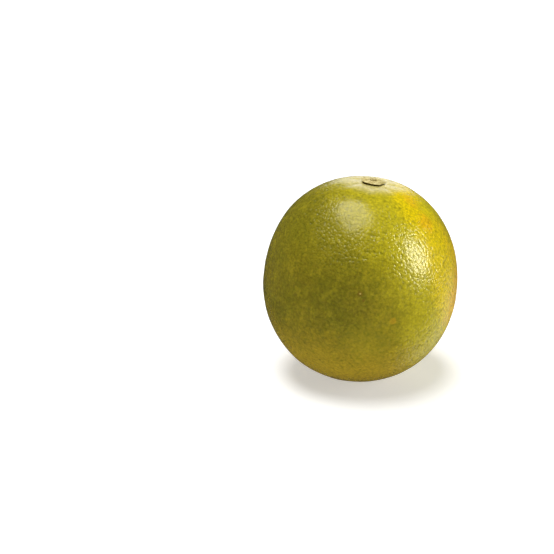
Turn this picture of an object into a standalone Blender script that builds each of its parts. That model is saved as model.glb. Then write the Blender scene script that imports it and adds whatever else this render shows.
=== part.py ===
"""A picked pera orange, standing on the small flat spot that its own weight presses into the rind.

The fruit is one solid. On its stem end sits the calyx, the five-lobed button that stays on when an
orange is picked, and in the calyx sits the broken end of the stalk. Lengths are in metres and +Z is
up. Each piece is modelled in the growth frame, where +Z runs from the widest ring to the stem end
and a point is given by its tilt from that axis and its turn round it, and an empty leans the frame
the way the fruit lies.
"""

import math

import bmesh
import bpy
from mathutils import Euler, Vector

MM = 0.001

# The fruit: half its width, and how far it reaches above and below its widest ring.
GIRTH_RADIUS = 35.0 * MM
CROWN = 39.6 * MM
BASE = 35.5 * MM
# Roundness of the two ends as superellipse exponents: 2 is an ellipse, more is squarer.
CROWN_ROUNDNESS = 2.13
BASE_ROUNDNESS = 2.03
# How far the stem end leans to +X from upright.
LEAN = math.radians(5.6)

# Slow swells that keep the body from being a perfect turning: a faint lobe for each segment inside,
# one wave round the waist, one wave from end to end, and a fuller shoulder on one side.
SEGMENTS_INSIDE = 10
LOBE_SWELL = 0.10 * MM
WAIST_WAVES, WAIST_SWELL, WAIST_PHASE = 2, 0.22 * MM, 0.9
LENGTH_WAVES, LENGTH_SWELL, LENGTH_PHASE = 3, 0.14 * MM, 2.0
SHOULDER_SWELL = 0.65 * MM
SHOULDER_TILT = math.radians(44)
SHOULDER_TURN = math.radians(186)
SHOULDER_SPREAD = math.radians(19)

# The shallow basin round the calyx, and the creases that run out from it.
BASIN_RADIUS = 5.4 * MM
BASIN_DEPTH = 0.90 * MM
BASIN_STEEPNESS = 4
CREASES = 7
CREASE_DEPTH = 0.32 * MM
CREASE_FROM, CREASE_DEEPEST, CREASE_TO = 4.2 * MM, 6.3 * MM, 13.5 * MM
CREASE_SHARPNESS = 4
# Unevenness in where the creases lie, as (waves round the stem, size in radians, phase).
CREASE_WANDER = ((1, 0.55, 0.7), (2, 0.35, 2.1))

# The flat spot underneath, its rounded edge, and the pit that the fallen flower left in it.
FLAT_DEPTH = 0.95 * MM
FLAT_EDGE = 0.22 * MM
FLOWER_SCAR_RADIUS = 1.9 * MM
FLOWER_SCAR_DEPTH = 0.55 * MM

# The calyx: a disc of five blunt lobes that thins and curls up towards its rim, and is dished in
# the middle for the stalk. Its lobes and its curl are (waves round the stem, share, phase).
GAP = 0.3 * MM
CALYX_RADIUS = 4.15 * MM
CALYX_THICKNESS = 1.0 * MM
CALYX_RIM_THICKNESS = 0.62 * MM
CALYX_CURL = 0.32 * MM
CALYX_CURL_START = 3
CALYX_LOBES = ((5, 0.075, 1.6), (2, 0.03, 2.0))
CALYX_CURL_WAVES = ((1, 0.45, 3.7),)
CALYX_BROADNESS, CALYX_SQUARENESS = 0.8, 0.6
SOCKET_RADIUS = 1.75 * MM
SOCKET_FLOOR_RADIUS = 1.3 * MM
SOCKET_DEPTH = 0.56 * MM

# The stalk's broken end in the calyx's socket, with an uneven break: (waves, share, phase).
STALK_RADIUS = 1.15 * MM
STALK_HEIGHT = 0.62 * MM
STALK_OUTLINE = ((3, 0.05, 2.1),)
STALK_BREAK = 0.14 * MM
STALK_BREAK_WAVES = ((2, 1.0, 2.4),)
STALK_SQUARENESS = 0.5

# Facets: segments round the stem axis and rings along it, which crowd towards both ends.
FRUIT_FACETS = (72, 56)
CALYX_FACETS = (50, 20)
STALK_FACETS = (20, 10)
RING_CROWDING = 0.3

RIND = (0.36, 0.31, 0.03)
DRY_CALYX = (0.42, 0.34, 0.14)
DRY_STALK = (0.24, 0.16, 0.06)


def clear_scene():
    for old in list(bpy.data.objects):
        bpy.data.objects.remove(old)


def fade(value, start, end):
    """0 up to start, 1 past end, and a smooth step between."""
    share = min(1.0, max(0.0, (value - start) / (end - start)))
    return share * share * (3 - 2 * share)


def ripple(turn, waves):
    """The sum of some sine waves round the stem axis."""
    return sum(size * math.sin(count * turn + phase) for count, size, phase in waves)


def squared(value, power):
    """A sine or cosine drawn out towards its ends, which squares off a sphere's profile."""
    return math.copysign(abs(value) ** power, value)


def direction(tilt, turn):
    return Vector((math.sin(tilt) * math.cos(turn), math.sin(tilt) * math.sin(turn), math.cos(tilt)))


def round_axis(across, turn, height):
    """The point at a distance from the stem axis, at a turn and a height."""
    return Vector((across * math.cos(turn), across * math.sin(turn), height))


def stem_relief(across, turn):
    """How far the basin and the creases take the skin below the plain crown."""
    basin = BASIN_DEPTH / (1 + (across / BASIN_RADIUS) ** BASIN_STEEPNESS)
    starting = fade(across, CREASE_FROM, CREASE_DEEPEST)
    ending = 1 - fade(across, CREASE_DEEPEST, CREASE_TO)
    place = CREASES * turn + ripple(turn, CREASE_WANDER)
    crease = (0.5 + 0.5 * math.cos(place)) ** CREASE_SHARPNESS
    return basin + CREASE_DEPTH * starting * ending * crease


def crown_height(across, turn):
    """The skin's height over the widest ring, near the stem end."""
    share = (across / GIRTH_RADIUS) ** CROWN_ROUNDNESS
    return CROWN * (1 - share) ** (1 / CROWN_ROUNDNESS) - stem_relief(across, turn)


def swell(tilt, turn):
    """How far the skin stands out from a perfect turning."""
    lobes = LOBE_SWELL * math.cos(SEGMENTS_INSIDE * turn)
    waist = WAIST_SWELL * math.sin(WAIST_WAVES * turn + WAIST_PHASE)
    length = LENGTH_SWELL * math.sin(LENGTH_WAVES * tilt + turn + LENGTH_PHASE)
    off = direction(tilt, turn).angle(direction(SHOULDER_TILT, SHOULDER_TURN))
    shoulder = SHOULDER_SWELL * math.exp(-((off / SHOULDER_SPREAD) ** 2))
    return (lobes + waist + length) * math.sin(tilt) ** 2 + shoulder


def skin_point(tilt, turn):
    """A point of the skin in the growth frame, before the flat spot is pressed in."""
    upper = tilt < math.pi / 2
    power = 2 / (CROWN_ROUNDNESS if upper else BASE_ROUNDNESS)
    reach = CROWN if upper else BASE
    across = GIRTH_RADIUS * squared(math.sin(tilt), power)
    point = round_axis(across, turn, reach * squared(math.cos(tilt), power))
    point += swell(tilt, turn) * direction(tilt, turn)
    if upper:
        point.z -= stem_relief(across, turn)
    return point


def pressed(height):
    """What a height over the ground becomes once the underside is pressed flat."""
    if height < -FLAT_EDGE:
        return 0.0
    if height > FLAT_EDGE:
        return height
    return (height + FLAT_EDGE) ** 2 / (4 * FLAT_EDGE)


def press_flat(mesh):
    """Presses the flat spot and the flower's scar into the underside, and returns the ground."""
    up = Vector((0, 0, 1))
    up.rotate(Euler((0, -LEAN, 0)))
    ground = min(vertex.co.dot(up) for vertex in mesh.verts) + FLAT_DEPTH
    for vertex in mesh.verts:
        height = vertex.co.dot(up) - ground
        lift = pressed(height) - height
        if vertex.co.z < 0:
            across = math.hypot(vertex.co.x, vertex.co.y)
            lift += FLOWER_SCAR_DEPTH * (1 - fade(across, 0, FLOWER_SCAR_RADIUS))
        vertex.co += up * lift
    return ground


def sphere(facets):
    """A unit sphere as a bmesh, and each of its vertices with its tilt and turn."""
    mesh = bmesh.new()
    bmesh.ops.create_uvsphere(mesh, u_segments=facets[0], v_segments=facets[1], radius=1.0)
    places = []
    for vertex in mesh.verts:
        tilt = math.acos(max(-1.0, min(1.0, vertex.co.z)))
        places.append((vertex, tilt, math.atan2(vertex.co.y, vertex.co.x)))
    return mesh, places


def fruit_mesh():
    """The whole fruit, and the height of the ground under it in the growth frame."""
    mesh, places = sphere(FRUIT_FACETS)
    for vertex, tilt, turn in places:
        vertex.co = skin_point(tilt - RING_CROWDING * math.sin(2 * tilt), turn)
    return mesh, press_flat(mesh)


def calyx_mesh():
    """The lobed disc, which follows the basin from a gap above the skin."""
    mesh, places = sphere(CALYX_FACETS)
    for vertex, tilt, turn in places:
        share = squared(math.sin(tilt), CALYX_BROADNESS)
        across = CALYX_RADIUS * (1 + ripple(turn, CALYX_LOBES)) * share
        rim = share**CALYX_CURL_START
        underside = crown_height(across, turn) + GAP + CALYX_CURL * (1 + ripple(turn, CALYX_CURL_WAVES)) * rim
        thickness = CALYX_THICKNESS + (CALYX_RIM_THICKNESS - CALYX_THICKNESS) * rim
        height = underside + thickness * (1 + squared(math.cos(tilt), CALYX_SQUARENESS)) / 2
        if tilt < math.pi / 2:
            height -= SOCKET_DEPTH * (1 - fade(across, SOCKET_FLOOR_RADIUS, SOCKET_RADIUS))
        vertex.co = round_axis(across, turn, height)
    return mesh


def stalk_mesh():
    """A short stub, blunt at the foot and unevenly broken on top."""
    mesh, places = sphere(STALK_FACETS)
    foot = crown_height(0, 0) + GAP + CALYX_THICKNESS - SOCKET_DEPTH + GAP
    for vertex, tilt, turn in places:
        share = squared(math.sin(tilt), STALK_SQUARENESS)
        across = STALK_RADIUS * (1 + ripple(turn, STALK_OUTLINE)) * share
        height = foot + STALK_HEIGHT * (1 + squared(math.cos(tilt), STALK_SQUARENESS)) / 2
        if tilt < math.pi / 2:
            height += STALK_BREAK * share * ripple(turn, STALK_BREAK_WAVES)
        vertex.co = round_axis(across, turn, height)
    return mesh


def material(name, colour, roughness):
    made = bpy.data.materials.new(name)
    made.use_nodes = True
    shader = made.node_tree.nodes["Principled BSDF"]
    shader.inputs["Base Color"].default_value = (*colour, 1)
    shader.inputs["Roughness"].default_value = roughness
    shader.inputs["Metallic"].default_value = 0.0
    return made


def add_piece(name, mesh, finish, parent, collection):
    """Turns a bmesh into a smooth-shaded object on the growth frame."""
    data = bpy.data.meshes.new(name)
    mesh.to_mesh(data)
    mesh.free()
    data.shade_smooth()
    data.materials.append(finish)
    piece = bpy.data.objects.new(name, data)
    piece.parent = parent
    collection.objects.link(piece)
    return piece


def stand(frame, fruit, ground):
    """Leans the growth frame and sets the flat spot on z = 0 with the fruit centred over the origin."""
    frame.rotation_euler = (0, LEAN, 0)
    turned = frame.rotation_euler.to_matrix()
    spots = [turned @ vertex.co for vertex in fruit.data.vertices]
    middle = [(min(spot[axis] for spot in spots) + max(spot[axis] for spot in spots)) / 2 for axis in (0, 1)]
    frame.location = (-middle[0], -middle[1], -ground)


def main():
    clear_scene()
    collection = bpy.data.collections.new("pera_orange")
    bpy.context.scene.collection.children.link(collection)
    growth = bpy.data.objects.new("growth_frame", None)
    collection.objects.link(growth)

    body, ground = fruit_mesh()
    fruit = add_piece("fruit", body, material("rind", RIND, 0.38), growth, collection)
    add_piece("calyx", calyx_mesh(), material("dry_calyx", DRY_CALYX, 0.8), growth, collection)
    add_piece("stalk_end", stalk_mesh(), material("dry_stalk", DRY_STALK, 0.9), growth, collection)
    stand(growth, fruit, ground)


main()
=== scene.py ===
"""The looks of a picked pera orange: pitted waxy rind, dried calyx and the broken end of its stalk.

Every piece is shaped in the growth frame, whose +Z runs from the fruit's widest ring to its stem end,
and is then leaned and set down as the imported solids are. In that frame a point is given by its tilt
from the stem axis and its turn round it, in radians. Lengths are in metres.
"""

import logging
import math
from dataclasses import dataclass
from enum import Enum
from functools import cached_property

import bmesh
import bpy
import numpy as np
from mathutils import Euler, Matrix, Quaternion, Vector, kdtree, noise


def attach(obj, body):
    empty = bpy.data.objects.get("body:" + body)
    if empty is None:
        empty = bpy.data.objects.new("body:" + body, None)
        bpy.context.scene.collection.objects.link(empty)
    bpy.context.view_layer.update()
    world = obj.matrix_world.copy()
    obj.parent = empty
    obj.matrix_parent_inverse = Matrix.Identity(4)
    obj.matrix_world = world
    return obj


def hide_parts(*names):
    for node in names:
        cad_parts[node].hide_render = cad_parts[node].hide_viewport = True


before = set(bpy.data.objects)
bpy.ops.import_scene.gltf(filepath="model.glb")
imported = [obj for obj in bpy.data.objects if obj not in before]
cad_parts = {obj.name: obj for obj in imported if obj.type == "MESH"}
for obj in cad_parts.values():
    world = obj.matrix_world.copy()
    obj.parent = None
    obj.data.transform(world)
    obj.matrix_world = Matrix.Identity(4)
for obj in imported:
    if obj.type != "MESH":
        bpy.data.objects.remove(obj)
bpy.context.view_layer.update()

LOG = logging.getLogger("pera_orange")
MM = 0.001
BODY = "root"
# Sockets of a Mix node that mixes colours.
MIX_FACTOR, MIX_A, MIX_B, MIX_RESULT = 0, 6, 7, 2

# A wave's count, its size and its phase.
Wave = tuple[int, float, float]
# Where something starts and where it ends.
Span = tuple[float, float]
# Three values along X, Y and Z, or of red, green and blue.
Triple = tuple[float, float, float]
Socket = bpy.types.NodeSocket
Sockets = dict[int | str, object]
Tree = bpy.types.NodeTree


class Pattern(Enum):
    """Names of the point attributes through which the rind's relief reaches its finish: the pores'
    darkness, partly painted shade, and the relief's strength.
    """

    PORE = "pore"
    COARSENESS = "coarseness"


class Measure(Enum):
    """What decides where a layer of the rind's colour lies."""

    BLOTCH = "noise in large lumps"
    MOTTLE = "noise in small lumps"
    HEIGHT = "height over the widest ring"
    BASE = "that height, with a ragged edge"
    SUN = "turn towards the sunny side, with a ragged edge"


class Blend(Enum):
    """How a layer of colour comes in, by Blender's names."""

    EVEN = "LINEAR"
    SOFT = "SMOOTHSTEP"


def linear(code: str) -> tuple[float, float, float, float]:
    """Turns an sRGB hex colour into the linear colour that shaders work in.

    Args:
        code: The colour as "#rrggbb".

    Returns:
        Its linear red, green and blue, and an alpha of 1.
    """
    parts = [int(code[start : start + 2], 16) / 255 for start in (1, 3, 5)]
    red, green, blue = (p / 12.92 if p <= 0.04045 else ((p + 0.055) / 1.055) ** 2.4 for p in parts)
    return red, green, blue, 1.0


def plug(tree: Tree, node: bpy.types.Node, sockets: Sockets) -> None:
    """Gives a node's inputs their links and values.

    Args:
        tree: The node tree that the node is in.
        node: The node.
        sockets: What each input gets, by its name or number: another node's output, or a value.
    """
    for key, source in sockets.items():
        if isinstance(source, Socket):
            tree.links.new(source, node.inputs[key])
        else:
            node.inputs[key].default_value = source


def add_node(tree: Tree, kind: str, sockets: Sockets | None = None, **settings) -> bpy.types.Node:
    """Adds a shader node, with its settings, its values and its links.

    Args:
        tree: The node tree that the node goes into.
        kind: Blender's name for the type of node.
        sockets: What each input gets, as in plug.
        settings: The node's own options.

    Returns:
        The new node.
    """
    node = tree.nodes.new(kind)
    for name, value in settings.items():
        setattr(node, name, value)
    plug(tree, node, sockets or {})
    return node


def new_material(name: str) -> tuple[bpy.types.Material, Tree, bpy.types.Node]:
    """A new material, with its node tree and its shader."""
    made = bpy.data.materials.new(name)
    made.use_nodes = True
    return made, made.node_tree, made.node_tree.nodes["Principled BSDF"]


def fade(value: np.ndarray, start: float, end: float) -> np.ndarray:
    """A smooth step from 0 at start to 1 at end."""
    share = np.clip((value - start) / (end - start), 0, 1)
    return share * share * (3 - 2 * share)


def between(span: Span, share: np.ndarray) -> np.ndarray:
    """The values at a share of the way along a span."""
    return span[0] + (span[1] - span[0]) * share


def ripple(turn: np.ndarray, waves: tuple[Wave, ...]) -> np.ndarray:
    """The sum of sine waves round the stem axis, each given as its count, size and phase."""
    return sum(size * np.sin(count * turn + phase) for count, size, phase in waves)


def squared(value: np.ndarray, power: float) -> np.ndarray:
    """A sine or cosine drawn out towards its ends, which squares off a sphere's profile."""
    return np.sign(value) * np.abs(value) ** power


def direction(tilt: np.ndarray, turn: np.ndarray) -> np.ndarray:
    """Unit vectors, one a row, at a tilt from the stem axis and a turn round it."""
    return np.stack([np.sin(tilt) * np.cos(turn), np.sin(tilt) * np.sin(turn), np.cos(tilt)], -1)


def round_axis(across: np.ndarray, turn: np.ndarray, height: np.ndarray) -> np.ndarray:
    """Points, one a row, at a distance from the stem axis, at a turn and a height."""
    return np.stack([across * np.cos(turn), across * np.sin(turn), height], -1)


def clumps(points: np.ndarray, grain: float) -> np.ndarray:
    """Smooth noise between -1 and 1 at each point, whose lumps are about one grain across."""
    return np.array([noise.noise(Vector(point)) for point in points / grain])


@dataclass(frozen=True)
class Growth:
    """The form that the orange grew to, and how it stands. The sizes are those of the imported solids."""

    girth_radius: float = 35.0 * MM
    crown: float = 39.6 * MM
    base: float = 35.5 * MM
    crown_roundness: float = 2.13
    base_roundness: float = 2.03
    lean: float = math.radians(5.6)
    segments_inside: int = 10
    lobe_swell: float = 0.10 * MM
    waist: Wave = (2, 0.22 * MM, 0.9)
    length: Wave = (3, 0.14 * MM, 2.0)
    shoulder_swell: float = 0.65 * MM
    shoulder_tilt: float = math.radians(44)
    shoulder_turn: float = math.radians(186)
    shoulder_spread: float = math.radians(19)
    basin_radius: float = 5.4 * MM
    basin_depth: float = 0.90 * MM
    basin_steepness: int = 4
    creases: int = 7
    crease_depth: float = 0.32 * MM
    crease_span: tuple[float, float, float] = (4.2 * MM, 6.3 * MM, 13.5 * MM)
    crease_sharpness: int = 4
    crease_wander: tuple[Wave, ...] = ((1, 0.55, 0.7), (2, 0.35, 2.1))
    flat_depth: float = 0.95 * MM
    flat_edge: float = 0.22 * MM
    flower_scar_radius: float = 1.9 * MM
    flower_scar_depth: float = 0.55 * MM

    @property
    def up(self) -> np.ndarray:
        """The upright of the row frame, seen from the growth frame."""
        return np.array([-math.sin(self.lean), 0.0, math.cos(self.lean)])

    def stem_relief(self, across: np.ndarray, turn: np.ndarray) -> np.ndarray:
        """How far the basin and the creases take the skin below the plain crown."""
        start, deepest, end = self.crease_span
        basin = self.basin_depth / (1 + (across / self.basin_radius) ** self.basin_steepness)
        place = self.creases * turn + ripple(turn, self.crease_wander)
        crease = (0.5 + 0.5 * np.cos(place)) ** self.crease_sharpness
        depth = self.crease_depth * fade(across, start, deepest) * (1 - fade(across, deepest, end))
        return basin + depth * crease

    def crown_height(self, across: np.ndarray, turn: np.ndarray) -> np.ndarray:
        """The skin's height over the widest ring, near the stem end."""
        share = (across / self.girth_radius) ** self.crown_roundness
        return self.crown * (1 - share) ** (1 / self.crown_roundness) - self.stem_relief(across, turn)

    def swell(self, tilt: np.ndarray, turn: np.ndarray) -> np.ndarray:
        """How far the skin stands out from a perfect turning."""
        lobes = self.lobe_swell * np.cos(self.segments_inside * turn)
        count, size, phase = self.length
        length = size * np.sin(count * tilt + turn + phase)
        shoulder = direction(np.float64(self.shoulder_tilt), np.float64(self.shoulder_turn))
        off = np.arccos(np.clip(direction(tilt, turn) @ shoulder, -1, 1))
        bulge = self.shoulder_swell * np.exp(-((off / self.shoulder_spread) ** 2))
        return (lobes + ripple(turn, (self.waist,)) + length) * np.sin(tilt) ** 2 + bulge

    def skin(self, tilt: np.ndarray, turn: np.ndarray) -> np.ndarray:
        """Points of the skin in the growth frame, before the flat spot is pressed in."""
        upper = tilt < math.pi / 2
        power = np.where(upper, 2 / self.crown_roundness, 2 / self.base_roundness)
        reach = np.where(upper, self.crown, self.base)
        across = self.girth_radius * squared(np.sin(tilt), power)
        points = round_axis(across, turn, reach * squared(np.cos(tilt), power))
        points += self.swell(tilt, turn)[..., None] * direction(tilt, turn)
        points[..., 2] -= np.where(upper, self.stem_relief(across, turn), 0)
        return points

    @cached_property
    def survey(self) -> np.ndarray:
        """The skin at every degree of tilt and turn, one point a row."""
        tilt, turn = np.meshgrid(np.radians(np.arange(181)), np.radians(np.arange(360)))
        return self.skin(tilt.ravel(), turn.ravel())

    @cached_property
    def ground(self) -> float:
        """The height of the flat spot along the upright, from the middle of the widest ring."""
        return float((self.survey @ self.up).min()) + self.flat_depth

    @cached_property
    def stance(self) -> Matrix:
        """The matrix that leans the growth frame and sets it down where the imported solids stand."""
        turned = Euler((0, self.lean, 0)).to_matrix()
        spots = self.survey @ np.array(turned).T
        middle = (spots.min(0) + spots.max(0)) / 2
        return Matrix.Translation((-middle[0], -middle[1], -self.ground)) @ turned.to_4x4()

    def press(self, points: np.ndarray) -> np.ndarray:
        """Presses the flat spot and the flower's scar into the underside.

        Args:
            points: Points in the growth frame, one a row.

        Returns:
            The points, with those near the ground lifted on to it.
        """
        height = points @ self.up - self.ground
        eased = (height + self.flat_edge) ** 2 / (4 * self.flat_edge)
        pressed = np.where(height < -self.flat_edge, 0, np.where(height > self.flat_edge, height, eased))
        across = np.hypot(points[:, 0], points[:, 1])
        scar = self.flower_scar_depth * (1 - fade(across, 0, self.flower_scar_radius))
        lift = pressed - height + np.where(points[:, 2] < 0, scar, 0)
        return points + lift[:, None] * self.up

    def on_skin(self, tilt: float, turn: float) -> Vector:
        """The point of the skin at a tilt and a turn, in the growth frame."""
        return Vector(self.skin(np.array([tilt]), np.array([turn]))[0])

    def shaded_point(self, tree: Tree) -> Socket:
        """Adds nodes that give the shaded point's place in the growth frame, where the patterns lie."""
        place = add_node(tree, "ShaderNodeTexCoord").outputs["Object"]
        return add_node(
            tree, "ShaderNodeMapping",
            {"Vector": place, "Location": self.stance.to_translation(), "Rotation": self.stance.to_euler()},
            vector_type="TEXTURE",
        ).outputs[0]


def angles(mesh: bmesh.types.BMesh) -> tuple[np.ndarray, np.ndarray]:
    """The tilt and the turn of each vertex of a unit sphere."""
    spots = np.array([vertex.co for vertex in mesh.verts])
    return np.arccos(np.clip(spots[:, 2], -1, 1)), np.arctan2(spots[:, 1], spots[:, 0])


def sphere_mesh(segments: int, rings: int) -> tuple[bmesh.types.BMesh, np.ndarray, np.ndarray]:
    """A unit sphere, with the tilt and the turn of each of its vertices."""
    mesh = bmesh.new()
    bmesh.ops.create_uvsphere(mesh, u_segments=segments, v_segments=rings, radius=1.0)
    return mesh, *angles(mesh)


def finished_piece(
    name: str, mesh: bmesh.types.BMesh, points: np.ndarray, growth: Growth, finish: bpy.types.Material
) -> bpy.types.Object:
    """Moves a mesh's vertices to their points and makes it a smooth piece in the row frame.

    Args:
        name: The piece's name.
        mesh: The mesh, which is freed.
        points: Where its vertices go, in the growth frame, one a row.
        growth: The form that gives the stance.
        finish: The piece's material.

    Returns:
        The piece, at the origin, with its place in its mesh.
    """
    for vertex, point in zip(mesh.verts, points):
        vertex.co = point
    mesh.transform(growth.stance)
    bmesh.ops.recalc_face_normals(mesh, faces=mesh.faces)
    data = bpy.data.meshes.new(name)
    mesh.to_mesh(data)
    mesh.free()
    data.shade_smooth()
    data.materials.append(finish)
    piece = bpy.data.objects.new(name, data)
    bpy.context.scene.collection.objects.link(piece)
    return piece


@dataclass(frozen=True)
class Layer:
    """A colour over those before it, from none at its measure's start value to most at its full one."""

    name: str
    colour: str
    measure: Measure
    start: float
    full: float
    cover: float = 1.0
    blend: Blend = Blend.EVEN


@dataclass(frozen=True)
class Mark:
    """A blemish or a small patch of colour on the rind, by its place in the growth frame."""

    name: str
    tilt: float
    turn: float
    radius: float
    colour: str
    strength: float


@dataclass(frozen=True)
class Patch:
    """A part of the rind whose relief is stronger or fainter, by its place in the growth frame."""

    tilt: float
    turn: float
    radius: float
    gain: float


@dataclass(frozen=True)
class RindFinish:
    """Citrus rind, grown waxy over its oil glands: a soft gloss that the glands break into sparks.

    It is still olive green on its shaded side, and has turned yellow on its sunny one.
    """

    moss: str = "#746b18"
    layers: tuple[Layer, ...] = (
        Layer("olive", "#82741a", Measure.BLOTCH, 0.38, 0.62),
        Layer("fresh_green", "#797117", Measure.HEIGHT, 0.2, 0.75, 0.8, Blend.SOFT),
        Layer("straw", "#ab9d22", Measure.MOTTLE, 0.5, 0.72, 0.4),
        Layer("golden", "#a18820", Measure.BASE, -0.35, -0.9),
        Layer("lime", "#b9ab1c", Measure.SUN, -0.05, 0.62, 0.88, Blend.SOFT),
        Layer("sun_yellow", "#d4bb0c", Measure.SUN, 0.60, 0.80, 1.0, Blend.SOFT),
        Layer("sun_orange", "#dcad18", Measure.SUN, 0.98, 1.25, 1.0, Blend.SOFT),
    )
    sunny_side: Triple = (0.82, 0.30, 0.42)
    # How far the large lumps and the small ones fray the edge of the sunny side.
    sun_raggedness: tuple[float, float] = (0.30, 0.18)
    base_raggedness: float = -0.5
    blotch: float = 16.0 * MM
    mottle: float = 4.5 * MM
    speck: float = 0.95 * MM
    speck_tone: Span = (0.7, 1.32)
    # The ring round the stem: partly rind that has stayed pale, partly a painted sheen.
    pale: str = "#cabc76"
    pale_sheen_edge: Span = (14.5 * MM, 8.5 * MM)
    pale_sheen_raggedness: float = 4.0 * MM
    pale_sheen_cover: float = 0.85
    # Painted shade under the calyx: the rind there is darkened as if in the calyx's shadow, and it never
    # shines.
    shade_under_calyx: str = "#7a6a30"
    shade_under_calyx_edge: Span = (4.0 * MM, 3.4 * MM)
    # The pores and the grooves between the wax's domes are darkened towards this green: partly the glands'
    # own darker green, partly painted shade in the hollows.
    hollow_shade_green: str = "#525a0c"
    hollow_shade_span: Span = (0.15, 1.2)
    hollow_shade_cover: float = 0.4875
    ior: float = 1.45
    shine: float = 0.265
    wax_tint: str = "#fffbdc"
    roughness: Span = (0.12, 0.26)
    # Real glands are 0.5 to 1 mm across, and the grain of the wax is finer still. Both are drawn as
    # coarse as they need to show.
    gland: float = 1.0 * MM
    wax_grain: float = 0.9 * MM
    grain_span: Span = (0.3, 0.7)
    gland_share: float = -1.7
    relief: float = 0.12 * MM
    # A little light goes into the rind, red the furthest, which softens the pores' shadows.
    inner_light: float = 0.06
    inner_spread: Triple = (1.0, 0.7, 0.15)
    inner_depth: float = 1.2 * MM
    mark_edge: Span = (1.8, 1.15)
    mark_raggedness: float = 1.6
    marks: tuple[Mark, ...] = (
        # Painted shade: darkens the rind low on the front left.
        Mark("painted_shade_left", math.radians(78), math.radians(-126), 9.0 * MM, "#5f5912", 0.3),
        Mark("sun_blush", math.radians(87), math.radians(-15), 13.0 * MM, "#f0b630", 0.65),
        Mark("light_flank", math.radians(96), math.radians(-59), 9.0 * MM, "#b5a71e", 0.3),
        Mark("light_foot", math.radians(102), math.radians(-86), 11.0 * MM, "#a5951f", 0.35),
        Mark("sun_streak", math.radians(41), math.radians(-38), 5.0 * MM, "#e2a41a", 0.45),
        Mark("stem_streak", math.radians(25), math.radians(-33), 5.0 * MM, "#dba51e", 0.4),
        Mark("lime_edge", math.radians(33), math.radians(-20), 6.0 * MM, "#c2bc1c", 0.4),
        Mark("light_shoulder", math.radians(49), math.radians(-115), 15.0 * MM, "#a29526", 0.15),
        Mark("shaded_shoulder", math.radians(45), math.radians(4), 14.0 * MM, "#a29c1a", 0.6),
        Mark("ring", math.radians(77.3), math.radians(-94.9), 1.35 * MM, "#6b4a1a", 0.55),
        Mark("ring_centre", math.radians(77.3), math.radians(-94.9), 0.5 * MM, "#c9b25a", 0.8),
        Mark("dot", math.radians(80.4), math.radians(-92.7), 0.75 * MM, "#6b4a1a", 0.5),
        Mark("orange_speck", math.radians(89.6), math.radians(-74.4), 1.5 * MM, "#cf9a20", 0.38),
        Mark("flower_scar", math.pi, 0.0, 2.6 * MM, "#7a5a2a", 0.9),
    )

    def material(self, growth: Growth) -> bpy.types.Material:
        """Builds the rind's material.

        Args:
            growth: The fruit's form, which the colours follow.

        Returns:
            The material, whose patterns lie in the growth frame.
        """
        made, tree, shader = new_material("waxy_citrus_rind")
        place = growth.shaded_point(tree)
        pore, coarseness = (
            add_node(tree, "ShaderNodeAttribute", attribute_name=pattern.value).outputs["Fac"]
            for pattern in (Pattern.PORE, Pattern.COARSENESS)
        )
        groove = add_node(
            tree, "ShaderNodeTexVoronoi", {"Vector": place, "Scale": 1 / self.gland}, feature="F1"
        ).outputs["Distance"]
        groove = add_node(tree, "ShaderNodeMath", {0: groove, 1: 2.0}, operation="POWER").outputs[0]
        grain = add_node(
            tree, "ShaderNodeTexNoise", {"Vector": place, "Scale": 1 / self.wax_grain, "Detail": 2.0}
        ).outputs["Fac"]
        from_stem = add_node(
            tree, "ShaderNodeVectorMath", {0: place, 1: growth.on_skin(0.0, 0.0)}, operation="DISTANCE"
        ).outputs["Value"]
        # Painted shade: the rind is darkened towards brown under the calyx, where it also never shines.
        shade_under_calyx = add_node(
            tree, "ShaderNodeMapRange",
            {"Value": from_stem, "From Min": self.shade_under_calyx_edge[0], "From Max": self.shade_under_calyx_edge[1]},
        ).outputs[0]
        # The deeper a point lies in a pore or a groove, the darker it is made: partly painted shade.
        hollow = add_node(tree, "ShaderNodeMath", {0: groove, 1: pore}, operation="ADD").outputs[0]
        dark = add_node(
            tree, "ShaderNodeMapRange",
            {
                "Value": hollow, "From Min": self.hollow_shade_span[0], "From Max": self.hollow_shade_span[1],
                "To Max": self.hollow_shade_cover,
            },
        ).outputs[0]
        colour = self.marked(tree, growth, place, from_stem, self.ripeness(tree, place))
        # Painted shade goes into the colour here, in the pores and grooves and under the calyx.
        for cover, code in ((dark, self.hollow_shade_green), (shade_under_calyx, self.shade_under_calyx)):
            colour = add_node(
                tree, "ShaderNodeMix", {MIX_FACTOR: cover, MIX_A: colour, MIX_B: linear(code)},
                data_type="RGBA",
            ).outputs[MIX_RESULT]
        gloss = add_node(
            tree, "ShaderNodeMapRange",
            {
                "Value": grain, "From Min": self.grain_span[0], "From Max": self.grain_span[1],
                "To Min": self.roughness[0], "To Max": self.roughness[1],
            },
        ).outputs[0]
        gloss = add_node(tree, "ShaderNodeMath", {0: gloss, 1: shade_under_calyx}, operation="MAXIMUM").outputs[0]
        height = add_node(
            tree, "ShaderNodeMath", {0: groove, 1: self.gland_share, 2: grain}, operation="MULTIPLY_ADD"
        ).outputs[0]
        height = add_node(
            tree, "ShaderNodeMath", {0: height, 1: coarseness}, operation="MULTIPLY"
        ).outputs[0]
        relief = add_node(tree, "ShaderNodeBump", {"Height": height, "Distance": self.relief}).outputs[0]
        plug(tree, shader, {
            "Base Color": colour,
            "Roughness": gloss,
            "Normal": relief,
            "IOR": self.ior,
            "Specular IOR Level": self.shine,
            "Specular Tint": linear(self.wax_tint),
            "Subsurface Weight": self.inner_light,
            "Subsurface Radius": self.inner_spread,
            "Subsurface Scale": self.inner_depth,
        })
        return made

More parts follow.
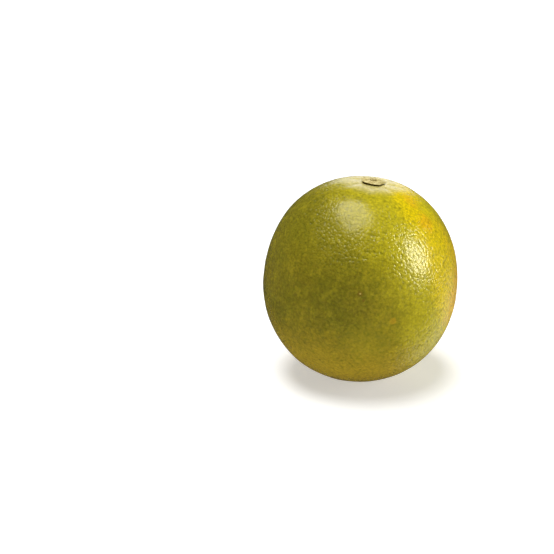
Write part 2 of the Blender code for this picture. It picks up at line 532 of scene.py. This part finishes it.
    def ripeness(self, tree: Tree, place: Socket) -> Socket:
        """The rind's slow changes of colour, from shaded green to sunny yellow and a golden base.

        Args:
            tree: The material's node tree.
            place: The point in the growth frame.

        Returns:
            The colour.
        """
        blotch, mottle, speck = (
            add_node(
                tree, "ShaderNodeTexNoise",
                {"Vector": place, "Scale": 1 / size, "Detail": 3.0, "Roughness": roughness},
            ).outputs["Fac"]
            for size, roughness in ((self.blotch, 0.6), (self.mottle, 0.65), (self.speck, 0.7))
        )
        outward = add_node(tree, "ShaderNodeVectorMath", {0: place}, operation="NORMALIZE").outputs[0]
        height = add_node(tree, "ShaderNodeSeparateXYZ", {0: outward}).outputs["Z"]
        base = add_node(
            tree, "ShaderNodeMath", {0: mottle, 1: self.base_raggedness, 2: height},
            operation="MULTIPLY_ADD",
        ).outputs[0]
        sun = add_node(
            tree, "ShaderNodeVectorMath", {0: outward, 1: self.sunny_side}, operation="DOT_PRODUCT"
        ).outputs["Value"]
        for lumps, share in zip((blotch, mottle), self.sun_raggedness):
            sun = add_node(
                tree, "ShaderNodeMath", {0: lumps, 1: share, 2: sun}, operation="MULTIPLY_ADD"
            ).outputs[0]
        measures = {
            Measure.BLOTCH: blotch,
            Measure.MOTTLE: mottle,
            Measure.HEIGHT: height,
            Measure.BASE: base,
            Measure.SUN: sun,
        }
        colour: Socket | tuple[float, ...] = linear(self.moss)
        for layer in self.layers:
            cover = add_node(
                tree, "ShaderNodeMapRange",
                {
                    "Value": measures[layer.measure], "From Min": layer.start, "From Max": layer.full,
                    "To Max": layer.cover,
                },
                interpolation_type=layer.blend.value,
            ).outputs[0]
            colour = add_node(
                tree, "ShaderNodeMix", {MIX_FACTOR: cover, MIX_A: colour, MIX_B: linear(layer.colour)},
                data_type="RGBA", label=layer.name,
            ).outputs[MIX_RESULT]
        speck = add_node(
            tree, "ShaderNodeMapRange",
            {
                "Value": speck, "From Min": self.grain_span[0], "From Max": self.grain_span[1],
                "To Min": self.speck_tone[0], "To Max": self.speck_tone[1],
            },
        ).outputs[0]
        return add_node(
            tree, "ShaderNodeVectorMath", {0: colour, "Scale": speck}, operation="SCALE"
        ).outputs[0]

    def marked(
        self, tree: Tree, growth: Growth, place: Socket, from_stem: Socket, colour: Socket
    ) -> Socket:
        """Lays the pale ring round the stem, partly a painted sheen, and then the marks, one of them
        painted shade, over the rind's colour.

        Args:
            tree: The material's node tree.
            growth: The fruit's form, for the marks' places.
            place: The point in the growth frame.
            from_stem: How far the point is from the stem end.
            colour: The colour so far.

        Returns:
            The colour.
        """
        ragged = add_node(
            tree, "ShaderNodeTexNoise",
            {"Vector": place, "Scale": 1 / self.mottle, "Detail": 4.0, "Roughness": 0.6},
        ).outputs["Fac"]
        # The pale ring round the stem is partly the rind's own pale colour, partly a painted sheen.
        covers = [
            ("pale_sheen_ring", from_stem, self.pale_sheen_raggedness, self.pale_sheen_edge, self.pale_sheen_cover, self.pale)
        ]
        for mark in self.marks:
            away = add_node(
                tree, "ShaderNodeVectorMath", {0: place, 1: growth.on_skin(mark.tilt, mark.turn)},
                operation="DISTANCE",
            ).outputs["Value"]
            raggedness = self.mark_raggedness * mark.radius
            edge = tuple(share * mark.radius for share in self.mark_edge)
            covers.append((mark.name, away, raggedness, edge, mark.strength, mark.colour))
        for name, away, raggedness, edge, strength, code in covers:
            away = add_node(
                tree, "ShaderNodeMath", {0: ragged, 1: raggedness, 2: away}, operation="MULTIPLY_ADD"
            ).outputs[0]
            cover = add_node(
                tree, "ShaderNodeMapRange",
                {"Value": away, "From Min": edge[0], "From Max": edge[1], "To Max": strength},
                interpolation_type="SMOOTHSTEP",
            ).outputs[0]
            colour = add_node(
                tree, "ShaderNodeMix", {MIX_FACTOR: cover, MIX_A: colour, MIX_B: linear(code)},
                data_type="RGBA", label=name,
            ).outputs[MIX_RESULT]
        return colour


@dataclass
class Rind:
    """The whole fruit, with every pore of its rind as a real pit."""

    growth: Growth
    finish: RindFinish = RindFinish()
    cells_along_edge: int = 128
    # Real pores lie a little closer together. These are as coarse as they need to be to show.
    pore_spacing: float = 1.25 * MM
    pore_jitter: float = 0.28
    pore_radius: Span = (0.45 * MM, 0.70 * MM)
    pore_depth: Span = (0.03 * MM, 0.085 * MM)
    # How dark a pore is made, from small ones to large: partly its own green, partly painted shade in the
    # pit.
    pore_shade: Span = (0.25, 0.65)
    patches: tuple[Patch, ...] = (
        Patch(0.0, 0.0, 11.0 * MM, -0.7),
        Patch(math.radians(35.5), math.radians(-108), 6.3 * MM, -0.8),
        Patch(math.radians(52), math.radians(-112), 7.5 * MM, 0.45),
        Patch(math.radians(57), math.radians(-54), 5.5 * MM, -0.55),
        Patch(math.radians(81), math.radians(-63), 6.0 * MM, -0.4),
    )
    lump_grain: float = 5.0 * MM
    lump_height: float = 0.07 * MM
    seed: int = 11

    def ball(self) -> bmesh.types.BMesh:
        """A unit ball of even squares: a cube cut into a grid and blown up."""
        mesh = bmesh.new()
        bmesh.ops.create_cube(mesh, size=2.0)
        cuts = self.cells_along_edge - 1
        bmesh.ops.subdivide_edges(mesh, edges=mesh.edges, cuts=cuts, use_grid_fill=True)
        for vertex in mesh.verts:
            vertex.co = Vector(math.tan(part * math.pi / 4) for part in vertex.co).normalized()
        return mesh

    def pores(self) -> tuple[np.ndarray, np.ndarray]:
        """The places of the pores on the skin, in an uneven spiral, and how large each is.

        Returns:
            The pores' middles in the growth frame, one a row, and each one's size from 0 to 1.
        """
        draw = np.random.default_rng(self.seed)
        area = 4 * math.pi * self.growth.girth_radius * (self.growth.girth_radius + self.growth.crown) / 2
        count = int(area / (self.pore_spacing**2 * math.sqrt(3) / 2))
        step = np.arange(count)
        tilt = np.arccos(1 - (2 * step + 1) / count)
        turn = step * math.pi * (3 - math.sqrt(5))
        shift = draw.normal(0, self.pore_jitter * self.pore_spacing / self.growth.girth_radius, (2, count))
        tilt = np.clip(tilt + shift[0], 0.001, math.pi - 0.001)
        turn = turn + shift[1] / np.sin(tilt)
        return self.growth.skin(tilt, turn), draw.uniform(0, 1, count)

    def coarseness(self, points: np.ndarray) -> np.ndarray:
        """How strong the relief is at each point, which differs from patch to patch."""
        strength = np.ones(len(points))
        for patch in self.patches:
            away = np.linalg.norm(points - np.array(self.growth.on_skin(patch.tilt, patch.turn)), axis=1)
            strength *= 1 + patch.gain * (1 - fade(away / patch.radius, 1, 2))
        return strength

    def pitted(self, points: np.ndarray) -> tuple[np.ndarray, np.ndarray]:
        """How deep each point lies in the nearest pore, and how dark that makes it, partly with painted
        shade.

        Args:
            points: Points of the plain skin, one a row.

        Returns:
            Each point's depth in metres, before the patches change it, and its darkness, which is partly
            painted shade.
        """
        middles, sizes = self.pores()
        tree = kdtree.KDTree(len(middles))
        for index, middle in enumerate(middles):
            tree.insert(middle, index)
        tree.balance()
        found = [tree.find(point)[1:] for point in points]
        size = sizes[np.array([index for index, _ in found])]
        away = np.array([distance for _, distance in found])
        share = 1 - fade(away / between(self.pore_radius, size), 0, 1)
        return share * between(self.pore_depth, size), share * between(self.pore_shade, size)

    def build(self) -> bpy.types.Object:
        """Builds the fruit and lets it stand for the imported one."""
        mesh = self.ball()
        tilt, turn = angles(mesh)
        points = self.growth.skin(tilt, turn)
        coarseness = self.coarseness(points)
        depth, darkness = self.pitted(points)
        rise = self.lump_height * clumps(points, self.lump_grain) - coarseness * depth
        points = self.growth.press(points + rise[:, None] * direction(tilt, turn))
        finish = self.finish.material(self.growth)
        piece = finished_piece("rind", mesh, points, self.growth, finish)
        for pattern, values in ((Pattern.PORE, darkness), (Pattern.COARSENESS, coarseness)):
            attribute = piece.data.attributes.new(pattern.value, "FLOAT", "POINT")
            attribute.data.foreach_set("value", values.astype(np.float32))
        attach(piece, BODY)
        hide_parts("fruit")
        return piece


@dataclass(frozen=True)
class DryFinish:
    """Dead plant tissue, dried on the fruit: matt and finely cracked, and paler where it stands up.

    It is darker and more olive on the side towards +X.
    """

    name: str
    body: str
    pale: str
    dark: str
    grain: float
    crack: float
    tone_span: Span = (0.32, 0.68)
    roughness: Span = (0.77, 0.93)
    shine: float = 0.3
    crack_edge: float = 0.12
    crack_cover: float = 0.45
    olive_side: str = "#9c8f4c"
    olive_side_span: Span = (-0.5 * MM, 3.5 * MM)
    olive_side_cover: float = 0.6
    relief: float = 0.12 * MM
    relief_strength: float = 0.8

    def material(self, growth: Growth) -> bpy.types.Material:
        """Builds the material, whose fibres run with the growth frame."""
        made, tree, shader = new_material(self.name)
        place = growth.shaded_point(tree)
        grain = add_node(
            tree, "ShaderNodeTexNoise",
            {"Vector": place, "Scale": 1 / self.grain, "Detail": 4.0, "Roughness": 0.65, "Distortion": 0.6},
        ).outputs["Fac"]
        tones = add_node(tree, "ShaderNodeValToRGB", {0: grain})
        low, high = tones.color_ramp.elements
        low.position, high.position = self.tone_span
        low.color, high.color = linear(self.dark), linear(self.pale)
        tones.color_ramp.elements.new(0.5).color = linear(self.body)
        crack = add_node(
            tree, "ShaderNodeTexVoronoi", {"Vector": place, "Scale": 1 / self.crack},
            feature="DISTANCE_TO_EDGE",
        ).outputs["Distance"]
        crack = add_node(
            tree, "ShaderNodeMapRange",
            {"Value": crack, "From Max": self.crack_edge, "To Min": self.crack_cover, "To Max": 0.0},
        ).outputs[0]
        side = add_node(tree, "ShaderNodeSeparateXYZ", {0: place}).outputs["X"]
        side = add_node(
            tree, "ShaderNodeMapRange",
            {
                "Value": side, "From Min": self.olive_side_span[0], "From Max": self.olive_side_span[1],
                "To Max": self.olive_side_cover,
            },
        ).outputs[0]
        colour = tones.outputs["Color"]
        for cover, code in ((crack, self.dark), (side, self.olive_side)):
            colour = add_node(
                tree, "ShaderNodeMix", {MIX_FACTOR: cover, MIX_A: colour, MIX_B: linear(code)},
                data_type="RGBA",
            ).outputs[MIX_RESULT]
        rough = add_node(
            tree, "ShaderNodeMapRange",
            {"Value": grain, "To Min": self.roughness[0], "To Max": self.roughness[1]},
        ).outputs[0]
        height = add_node(tree, "ShaderNodeMath", {0: grain, 1: crack}, operation="SUBTRACT").outputs[0]
        relief = add_node(
            tree, "ShaderNodeBump",
            {"Height": height, "Strength": self.relief_strength, "Distance": self.relief},
        ).outputs[0]
        plug(tree, shader, {
            "Base Color": colour, "Roughness": rough, "Normal": relief, "Specular IOR Level": self.shine,
        })
        return made


@dataclass
class Button:
    """What is left of the stem: the calyx, and the stalk's broken end in the middle of it."""

    growth: Growth
    calyx_cells: tuple[int, int] = (160, 56)
    stalk_cells: tuple[int, int] = (64, 32)
    gap: float = 0.12 * MM
    radius: float = 4.15 * MM
    thickness: float = 1.18 * MM
    rim_thickness: float = 0.50 * MM
    curl: float = 0.28 * MM
    curl_steepness: int = 3
    lobes: tuple[Wave, ...] = ((5, 0.075, 1.6), (2, 0.03, 2.0), (11, 0.012, 0.3), (17, 0.008, 2.6))
    curl_waves: tuple[Wave, ...] = ((1, 0.8, 4.54), (5, 0.15, 1.6), (9, 0.1, 0.8))
    broadness: float = 0.8
    squareness: float = 0.6
    top_edge: float = 0.25
    wrinkles: tuple[Wave, ...] = ((15, 0.05 * MM, 0.4), (23, 0.035 * MM, 1.9), (34, 0.02 * MM, 0.2))
    wrinkle_span: Span = (0.35, 0.7)
    crumple_grain: float = 1.1 * MM
    crumple: float = 0.10 * MM
    socket_radius: float = 1.75 * MM
    socket_floor_radius: float = 1.3 * MM
    socket_depth: float = 0.56 * MM
    stalk_radius: float = 1.15 * MM
    stalk_height: float = 0.80 * MM
    stalk_outline: tuple[Wave, ...] = ((3, 0.05, 2.1), (13, 0.03, 0.5), (21, 0.02, 1.4))
    stalk_break: Wave = (2, 0.14 * MM, 2.4)
    stalk_squareness: float = 0.5
    stalk_top_edge: float = 0.3
    splinter_grain: float = 0.32 * MM
    splinter: float = 0.12 * MM
    # The calyx is leathery, with cracks about a millimetre apart, and the stalk's wood is finer.
    calyx_finish: DryFinish = DryFinish(
        "dried_calyx", "#cebd7c", "#e8dba4", "#8f7c42", grain=1.4 * MM, crack=1.3 * MM
    )
    stalk_finish: DryFinish = DryFinish(
        "broken_stalk_wood", "#bfae72", "#d8ca96", "#8a7842", grain=0.5 * MM, crack=0.45 * MM,
        roughness=(0.82, 0.98),
    )

    def calyx(self) -> bpy.types.Object:
        """The lobed disc, thin and curled at its rim and wrinkled towards its middle."""
        mesh, tilt, turn = sphere_mesh(*self.calyx_cells)
        share = squared(np.sin(tilt), self.broadness)
        across = self.radius * (1 + ripple(turn, self.lobes) * share) * share
        rim = share**self.curl_steepness
        underside = self.growth.crown_height(across, turn) + self.gap
        underside += self.curl * (1 + ripple(turn, self.curl_waves)) * rim
        thickness = between((self.thickness, self.rim_thickness), rim)
        height = underside + thickness * (1 + squared(np.cos(tilt), self.squareness)) / 2
        upper = fade(np.cos(tilt), 0.0, self.top_edge)
        socket = 1 - fade(across, self.socket_floor_radius, self.socket_radius)
        height -= upper * self.socket_depth * socket
        height += upper * ripple(turn, self.wrinkles) * fade(share, *self.wrinkle_span)
        points = round_axis(across, turn, height)
        points[:, 2] += upper * self.crumple * clumps(points, self.crumple_grain)
        finish = self.calyx_finish.material(self.growth)
        piece = finished_piece("calyx_button", mesh, points, self.growth, finish)
        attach(piece, BODY)
        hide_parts("calyx")
        return piece

    def stalk_end(self) -> bpy.types.Object:
        """The stub that the stalk left when the orange was picked, with torn fibres on top."""
        mesh, tilt, turn = sphere_mesh(*self.stalk_cells)
        foot = self.growth.crown_height(np.zeros(1), np.zeros(1))[0] + self.thickness - self.socket_depth
        share = squared(np.sin(tilt), self.stalk_squareness)
        across = self.stalk_radius * (1 + ripple(turn, self.stalk_outline) * share) * share
        rise = (1 + squared(np.cos(tilt), self.stalk_squareness)) / 2
        height = foot + 2 * self.gap + self.stalk_height * rise
        points = round_axis(across, turn, height)
        upper = fade(np.cos(tilt), 0.0, self.stalk_top_edge)
        points[:, 2] += upper * share * ripple(turn, (self.stalk_break,))
        points[:, 2] += upper * self.splinter * clumps(points, self.splinter_grain)
        finish = self.stalk_finish.material(self.growth)
        piece = finished_piece("stalk_stub", mesh, points, self.growth, finish)
        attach(piece, BODY)
        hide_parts("stalk_end")
        return piece


@dataclass(frozen=True)
class Softbox:
    """An oval softbox that faces the fruit.

    Towards is the direction from the fruit to it, and spin is how far it is turned about that line.
    One marked as a glint shows in the wax and doesn't light the rind.
    """

    name: str
    towards: Triple
    away: float
    size: Span
    watts: float
    spin: float = 0.0
    colour: Triple = (1.0, 1.0, 1.0)
    glint: bool = False


@dataclass(frozen=True)
class SkyPatch:
    """A light as far off and as wide as a patch of sky, so that it falls evenly and leaves no glint.

    Its angle is how wide it looks from the fruit, and its strength is in watts per square metre.
    """

    name: str
    towards: Triple
    angle: float
    strength: float


@dataclass(frozen=True)
class CardFinish:
    """White card, pressed matt: it shows only a soft shadow, and glows a little to stay white round it."""

    white: str = "#e2e2e1"
    roughness: float = 0.9
    shine: float = 0.1
    glow: float = 0.45

    def material(self) -> bpy.types.Material:
        """Builds the card's material."""
        made, tree, shader = new_material("white_card")
        plug(tree, shader, {
            "Base Color": linear(self.white),
            "Roughness": self.roughness,
            "Specular IOR Level": self.shine,
            "Emission Color": (1, 1, 1, 1),
            "Emission Strength": self.glow,
        })
        return made


@dataclass
class Studio:
    """A plain pale floor, soft light from above and from the right, and the photograph's camera."""

    lens: float = 85.0
    sensor: float = 36.0
    elevation: float = math.radians(21.0)
    distance: float = 476.5 * MM
    aim_height: float = 36.0 * MM
    aside: float = 30.2 * MM
    above: float = -1.25 * MM
    floor_size: float = 40.0
    card: CardFinish = CardFinish()
    softboxes: tuple[Softbox, ...] = (
        Softbox("overhead", (-0.13, -0.03, 0.96), 4.0, (3.8, 2.4), 208.0, math.radians(-3)),
        Softbox(
            "right", (0.901, -0.261, 0.330), 0.9, (0.25, 0.63), 13.0, colour=(1.0, 0.98, 0.87), glint=True
        ),
    )
    skies: tuple[SkyPatch, ...] = (
        SkyPatch("fill", (0.5, -0.9, 0.1), math.radians(100), 0.06),
        SkyPatch("side", (0.95, -0.24, -0.12), math.radians(90), 2.38),
    )
    # The backdrop is an oval in the half of the surround behind the fruit.
    backdrop_scale: Triple = (4.2, 0.0, 2.9)
    backdrop_shift: Triple = (-0.50, 0.0, -0.80)
    backdrop_edge: Span = (1.12, 0.92)
    backdrop_strength: float = 1.38
    # The lit table shows in the wax low on the right.
    table_towards: Triple = (0.72, 0.42, -0.55)
    table_edge: Span = (0.875, 0.98)
    table_strength: float = 1.1
    room_strength: float = 0.06

    def camera(self) -> bpy.types.Object:
        """The camera, level, looking along +Y and down on the fruit, which it sees right of centre."""
        back = Vector((0, -math.cos(self.elevation), math.sin(self.elevation)))
        rise = Vector((0, math.sin(self.elevation), math.cos(self.elevation)))
        data = bpy.data.cameras.new("camera")
        data.lens = self.lens
        data.sensor_width = self.sensor
        data.sensor_fit = "HORIZONTAL"
        made = bpy.data.objects.new("camera", data)
        made.location = Vector((-self.aside, 0, self.aim_height)) + back * self.distance - rise * self.above
        made.rotation_euler = (math.pi / 2 - self.elevation, 0, 0)
        bpy.context.scene.collection.objects.link(made)
        bpy.context.scene.camera = made
        return made

    def floor(self) -> bpy.types.Object:
        """The floor, a sheet of white card that the wax doesn't reflect."""
        mesh = bmesh.new()
        bmesh.ops.create_grid(mesh, x_segments=1, y_segments=1, size=self.floor_size / 2)
        data = bpy.data.meshes.new("floor")
        mesh.to_mesh(data)
        mesh.free()
        data.materials.append(self.card.material())
        made = bpy.data.objects.new("floor", data)
        made.visible_glossy = False
        bpy.context.scene.collection.objects.link(made)
        return made

    def hang(
        self, data: bpy.types.Light, towards: Triple, away: float = 0.0, spin: float = 0.0
    ) -> bpy.types.Object:
        """Hangs a light that faces the fruit.

        Args:
            data: The light's settings.
            towards: The direction from the fruit to the light.
            away: How far off it hangs, which makes no difference to a patch of sky.
            spin: How far it is turned about the line to the fruit.

        Returns:
            The light.
        """
        line = Vector(towards)
        made = bpy.data.objects.new(data.name, data)
        made.location = Vector((0, 0, self.aim_height)) + line.normalized() * away
        made.rotation_euler = (line.to_track_quat("Z", "Y") @ Quaternion((0, 0, 1), spin)).to_euler()
        bpy.context.scene.collection.objects.link(made)
        return made

    def lights(self) -> None:
        """Hangs a broad softbox overhead, a tall one at the right, and the two patches of sky."""
        for box in self.softboxes:
            data = bpy.data.lights.new(box.name, "AREA")
            data.shape = "ELLIPSE"
            data.size, data.size_y = box.size
            data.energy = box.watts
            data.color = box.colour
            self.hang(data, box.towards, box.away, box.spin).visible_diffuse = not box.glint
        for sky in self.skies:
            data = bpy.data.lights.new(sky.name, "SUN")
            data.angle = sky.angle
            data.energy = sky.strength
            self.hang(data, sky.towards).visible_glossy = False

    def surround(self) -> None:
        """Makes what the wax reflects: a white backdrop, the lit table and a dim room.

        The camera itself sees plain white.
        """
        world = bpy.data.worlds.new("surround")
        world.use_nodes = True
        tree = world.node_tree
        tree.nodes.clear()
        towards = add_node(tree, "ShaderNodeTexCoord").outputs["Generated"]
        backdrop = add_node(
            tree, "ShaderNodeVectorMath", {0: towards, 1: self.backdrop_scale, 2: self.backdrop_shift},
            operation="MULTIPLY_ADD",
        ).outputs[0]
        backdrop = add_node(
            tree, "ShaderNodeVectorMath", {0: backdrop}, operation="LENGTH"
        ).outputs["Value"]
        table = add_node(
            tree, "ShaderNodeVectorMath", {0: towards, 1: self.table_towards}, operation="DOT_PRODUCT"
        ).outputs["Value"]
        backdrop, table = (
            add_node(
                tree, "ShaderNodeMapRange",
                {"Value": value, "From Min": edge[0], "From Max": edge[1], "To Max": strength},
                interpolation_type="SMOOTHSTEP",
            ).outputs[0]
            for value, edge, strength in (
                (backdrop, self.backdrop_edge, self.backdrop_strength),
                (table, self.table_edge, self.table_strength),
            )
        )
        depth = add_node(tree, "ShaderNodeSeparateXYZ", {0: towards}).outputs["Y"]
        behind = add_node(tree, "ShaderNodeMath", {0: depth, 1: 0.0}, operation="GREATER_THAN").outputs[0]
        seen = add_node(tree, "ShaderNodeLightPath").outputs["Is Camera Ray"]
        strength = backdrop
        for operation, value in (
            ("MULTIPLY", behind), ("ADD", table), ("ADD", self.room_strength), ("MAXIMUM", seen),
        ):
            strength = add_node(
                tree, "ShaderNodeMath", {0: strength, 1: value}, operation=operation
            ).outputs[0]
        light = add_node(tree, "ShaderNodeBackground", {"Color": (1, 1, 1, 1), "Strength": strength})
        add_node(tree, "ShaderNodeOutputWorld", {"Surface": light.outputs[0]})
        bpy.context.scene.world = world

    def build(self) -> None:
        """Sets the stage."""
        self.camera()
        self.floor()
        self.lights()
        self.surround()
        bpy.context.scene.view_settings.view_transform = "Standard"


def main() -> None:
    """Sets the stage, then builds and reports each piece."""
    logging.basicConfig(level=logging.INFO, format="%(message)s")
    Studio().build()
    growth = Growth()
    button = Button(growth)
    for piece in (Rind(growth).build(), button.calyx(), button.stalk_end()):
        LOG.info("%s: %d faces", piece.name, len(piece.data.polygons))


if __name__ == "__main__":
    main()
